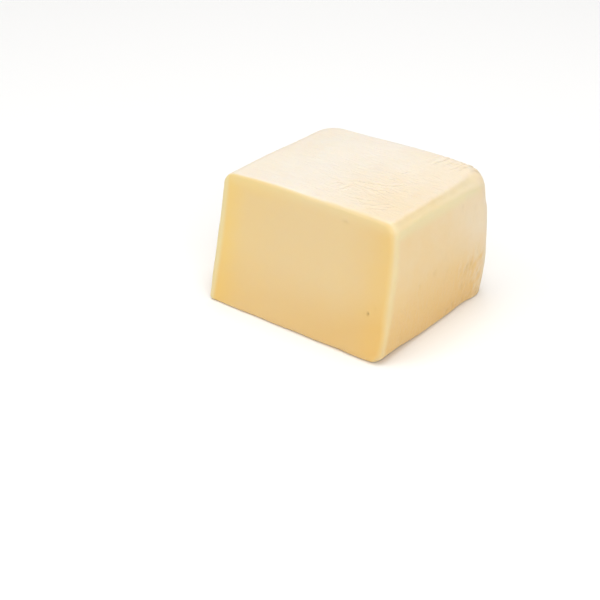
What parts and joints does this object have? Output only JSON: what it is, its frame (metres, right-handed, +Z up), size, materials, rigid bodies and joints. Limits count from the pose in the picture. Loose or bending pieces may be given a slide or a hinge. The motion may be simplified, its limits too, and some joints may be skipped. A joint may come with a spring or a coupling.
{
  "type": "mozzarella block",
  "caption": "Cut block of low-moisture mozzarella, the end of a pressed loaf with soft rounded mould edges and a leaning knife cut, standing on its flat base.",
  "frame": {"origin": "middle of the base of the block's box, on the surface that it stands on", "axes": "+X across the block's width, to the right as seen from the cut; +Y along the loaf, away from the knife cut and towards the moulded end; +Z up"},
  "size_m": [0.1458, 0.1332, 0.0935],
  "materials": {
    "cheese": "moist satin, slightly translucent, pale yellow at the cut and paler cream on the moulded skin"
  },
  "bodies": {
    "root": {"mozzarella_block": "cheese"}
  },
  "joints": []
}
